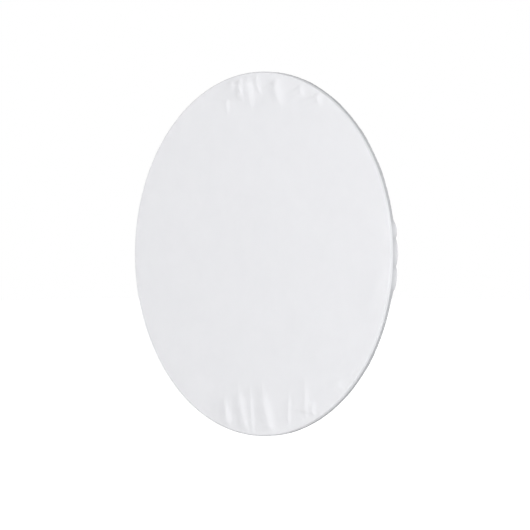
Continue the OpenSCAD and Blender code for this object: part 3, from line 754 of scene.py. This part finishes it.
def shell_sheet(foot, outer_z, sag, pucker, seam_height, seed):
    """A gored cloth cone from under the clamp ring to the rim.

    sag is how far a gore bellies out. pucker and seam_height are the heights of the puckers and the seams.
    The result is the radii, then grids of radius, angle and depth.
    """
    bend_r, outer_r = CLAMP_R + 1 * MM, SHELL_OUTER_R
    radii = np.concatenate([np.linspace(SHELL_INNER_R, bend_r, 6), np.linspace(bend_r, outer_r, 64)[1:]])
    angle = (np.arange(SHELL_AROUND) + 0.5) * TAU / SHELL_AROUND
    turn, radius = np.meshgrid(angle, radii)
    share = np.clip((radius - bend_r) / (outer_r - bend_r), 0, 1)
    depth = foot + (outer_z - foot) * share
    middle = np.sin(np.pi * share)

    gap = seam_distance(turn, radius)
    belly = 1 - (1 - gap / (GORE / 2 * radius)) ** 2
    rise = sag * middle * (0.25 + 0.75 * belly)
    rise += seam_height * np.exp(-(gap / (2.4 * MM)) ** 4) * smooth(share / 0.03) * smooth((1 - share) / 0.02)

    # Puckers every 11 mm beside the seams, then round the clamp ring and the rim, and a slow unevenness.
    drawn = np.exp(-((gap - 6 * MM) / (8 * MM)) ** 2) * smooth(share / 0.06) * smooth((1 - share) / 0.05)
    run = radius / (11 * MM)
    rise += pucker * drawn * (0.5 + 0.5 * np.sin(TAU * run + 2.5 * waves(turn, 12, 4, seed)))
    near_clamp = np.exp(-(radius - bend_r) / (26 * MM)) * smooth((radius - bend_r) / (5 * MM))
    near_rim = np.exp(-(outer_r - radius) / (22 * MM)) * smooth((outer_r - radius) / (4 * MM))
    rise += pucker * (1.3 * near_clamp * (0.5 + 0.5 * waves(turn, 40, 9, seed + 1))
                      + 1.1 * near_rim * (0.5 + 0.5 * waves(turn, 70, 14, seed + 2)))
    rise += 0.5 * pucker * middle * waves(turn + 0.6 * share, 9, 4, seed + 3)
    return radii, radius, turn, depth + np.maximum(rise, 0)


def fold_with_rim(piece):
    """Rides on the hub, with a copy of its mesh of its own."""
    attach(piece, "hub")
    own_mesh(piece)


def build_sheet(name, node, sheet, material):
    """One cloth cone, in place of its CAD node."""
    radii, radius, turn, depth = sheet
    points = optical_points(radius, turn, depth).reshape(-1, 3)
    uvs = np.stack([turn, radius * CONE_RUN], -1).reshape(-1, 2)
    faces = ring_faces(len(radii), SHELL_AROUND)
    piece = outward_sheet(build_object(name, points, faces, uvs, (GORE, radius.ravel())))
    solidified(piece, SHEET_THICK)
    dress(piece, material)
    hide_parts(node)
    fold_with_rim(piece)


def point_on(sheet, radius, angle, lift):
    """A row-frame point above a sheet at a radius and an angle."""
    radii, _, _, depth = sheet
    place = angle * SHELL_AROUND / TAU - 0.5
    column, share = int(math.floor(place)), place - math.floor(place)
    low, high = (np.interp(radius, radii, depth[:, (column + k) % SHELL_AROUND]) for k in (0, 1))
    ahead = (1 - share) * low + share * high
    return radius * math.cos(angle), -(ahead + lift), radius * math.sin(angle)


def seam_stitches(sheet, offset, lift):
    """Twin rows of stitches beside every seam of the shell."""
    starts, ends = [], []
    spots = np.arange(CLAMP_R + 6 * MM, sheet[0][-1] - 6 * MM, SEAM_PITCH)
    for gore in range(GORES):
        for side in (-1, 1):
            for spot in spots:
                for store, r in ((starts, spot), (ends, spot + SEAM_STITCH)):
                    store.append(point_on(sheet, r, GORE / 2 + GORE * gore + side * offset / r, lift))
    stitches = thread("shell_seam_stitches", starts, ends, 0.24 * MM)
    dress(stitches, sewing_thread("black_thread", (0.09, 0.09, 0.095)))
    fold_with_rim(stitches)


def seam_tapes(sheet, lift, material):
    """Tape that binds every seam on the outside of the shell, a thin closed strip with a crowned back."""
    verts, uvs, faces = [], [], []
    for gore in range(GORES):
        faces += tube_faces(TAPE_STATIONS, len(TAPE_SECTION), len(verts))
        for r in np.linspace(CLAMP_R + 1.5 * MM, sheet[0][-1] - 1 * MM, TAPE_STATIONS):
            for across, height in TAPE_SECTION:
                a = GORE / 2 + GORE * gore + across * TAPE_HALF_WIDTH / r
                verts.append(point_on(sheet, r, a, lift + height * MM))
                uvs.append((across * TAPE_HALF_WIDTH, r * CONE_RUN))
    tapes = outward(build_object("shell_seam_tapes", verts, faces, uvs))
    dress(tapes, material)
    fold_with_rim(tapes)


def build_shell():
    """Black outer shell with taped seams, silver lining, and the binding round the rim."""
    black = woven("shell_oxford", (0.006, 0.006, 0.008), (0.019, 0.019, 0.022), 0.9 * MM, 0.5, 0.12)
    tape = woven("seam_tape", (0.010, 0.010, 0.012), (0.030, 0.030, 0.034), 1.1 * MM, 0.6, 0.2)
    outer = shell_sheet(SHELL_FOOT + 0.6 * MM, SHELL_OUT_Z - 0.1 * MM, 1.9 * MM, 0.8 * MM, 0.0, 31)
    build_sheet("shell_cloth", "outer_shell", outer, black)
    seam_tapes(outer, -SHEET_THICK, tape)
    seam_stitches(outer, 3.4 * MM, -0.85 * MM)
    lining = shell_sheet(LINING_FOOT + 0.55 * MM, LINING_OUT_Z, 2.6 * MM, 0.8 * MM, 0.5 * MM, 47)
    build_sheet("lining_cloth", "inner_lining", lining, silver_lining())
    build_binding(tape)


# ---------------------------------------------------------------- rim binding

BINDING_AROUND = 480
BINDING_CORNER = 0.9 * MM


def build_binding(material):
    """The black tape pocket that holds the hoop, a closed ring with rounded corners."""
    corners = ((SLEEVE_OUT_R, SLEEVE_FRONT, 1, 1, 90), (SLEEVE_OUT_R, SLEEVE_REAR, 1, -1, 0),
               (SLEEVE_IN_R, SLEEVE_REAR, -1, -1, -90), (SLEEVE_IN_R, SLEEVE_FRONT, -1, 1, -180))
    section = []
    for r, z, side_r, side_z, first in corners:
        for step in range(4):
            a = math.radians(first - 30 * step)
            section.append((r - side_r * BINDING_CORNER + BINDING_CORNER * math.cos(a),
                            z - side_z * BINDING_CORNER + BINDING_CORNER * math.sin(a)))
    section = np.array(section)
    turn, radius = np.meshgrid(np.arange(BINDING_AROUND) * TAU / BINDING_AROUND, section[:, 0])
    points = optical_points(radius, turn, section[:, 1][:, None] + 0 * turn).reshape(-1, 3)
    uvs = np.stack([turn, run_along(section)[:, None] + 0 * turn], -1).reshape(-1, 2)
    faces = ring_faces(len(section), BINDING_AROUND, closed=True)
    tape = outward(build_object("rim_binding", points, faces, uvs, one_wrap(points)))
    dress(tape, material)
    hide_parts("rim_sleeve")
    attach(tape, "rim")


# ---------------------------------------------------------------- stage, light and camera

CAMERA_TURN = math.radians(45.3)
CAMERA_DISTANCE = 5.0
VIEW_WIDTH = 1.018838908  # metres seen across the frame, at the face's distance
LENS_SHIFT = (0.016037736, -0.020943396)  # shares of the frame's width
FLOOR_Z, FLOOR_HALF = -0.78, 30.0
FLOOR_GLOW = 0.75
WORLD_LIGHT = 0.5


def build_stage():
    """A pale floor that meets a white surround."""
    corners = [(x * FLOOR_HALF, y * FLOOR_HALF, FLOOR_Z) for x, y in ((-1, -1), (1, -1), (1, 1), (-1, 1))]
    floor = build_object("floor", corners, [(0, 1, 2, 3)])
    f = Finish("pale_floor", (0.9, 0.9, 0.9), 0.7, specular=0.2)
    seen = f.add("ShaderNodeLightPath").outputs["Is Camera Ray"]
    f.set(**{"Emission Color": (1, 1, 1, 1), "Emission Strength": f.math("MULTIPLY", seen, FLOOR_GLOW)})
    dress(floor, f.material)


def build_world():
    """White to the camera, softer white as light."""
    world = bpy.data.worlds.new("studio")
    bpy.context.scene.world = world
    world.use_nodes = True
    tree = world.node_tree
    tree.nodes.clear()
    output = tree.nodes.new("ShaderNodeOutputWorld")
    seen, light = tree.nodes.new("ShaderNodeBackground"), tree.nodes.new("ShaderNodeBackground")
    seen.inputs[0].default_value = (1, 1, 1, 1)
    light.inputs[0].default_value = (0.99, 0.995, 1, 1)
    light.inputs[1].default_value = WORLD_LIGHT
    path, mix = tree.nodes.new("ShaderNodeLightPath"), tree.nodes.new("ShaderNodeMixShader")
    tree.links.new(path.outputs["Is Camera Ray"], mix.inputs[0])
    tree.links.new(light.outputs[0], mix.inputs[1])
    tree.links.new(seen.outputs[0], mix.inputs[2])
    tree.links.new(mix.outputs[0], output.inputs[0])


def area_light(name, place, target, size, power):
    """A square soft white light that points at a target."""
    data = bpy.data.lights.new(name, "AREA")
    data.size, data.energy = size, power
    lamp = bpy.data.objects.new(name, data)
    lamp.location = place
    lamp.rotation_euler = (Vector(target) - Vector(place)).to_track_quat("-Z", "Y").to_euler()
    bpy.context.scene.collection.objects.link(lamp)


def build_lights():
    """A soft key that rakes the face from the +X side, a broad front fill and two weaker lights behind."""
    face = (0, -0.16, 0)
    area_light("key", (5.6, -2.5, 1.0), face, 2.2, 320)
    area_light("fill", (-1.6, -3.4, 1.2), face, 2.6, 39)
    area_light("rear", (1.6, 2.8, 1.6), (0, 0, 0), 1.8, 40)
    area_light("rear_low", (-2.2, 2.2, 0.2), (0, 0, 0), 1.8, 22)


def build_camera():
    """A long lens, level with the axis, to the +X side of the front."""
    data = bpy.data.cameras.new("camera")
    data.sensor_width = 36
    data.lens = data.sensor_width * CAMERA_DISTANCE / VIEW_WIDTH
    data.shift_x, data.shift_y = LENS_SHIFT
    camera = bpy.data.objects.new("camera", data)
    bpy.context.scene.collection.objects.link(camera)
    away = Vector((math.sin(CAMERA_TURN), -math.cos(CAMERA_TURN), 0))
    camera.location = Vector((0, -COVER_FRONT, 0)) + CAMERA_DISTANCE * away
    camera.rotation_euler = (-away).to_track_quat("-Z", "Y").to_euler()
    bpy.context.scene.camera = camera
    bpy.context.scene.view_settings.view_transform = "Standard"


build_cover()
build_shell()
finish_hard_parts()
build_stage()
build_world()
build_lights()
build_camera()
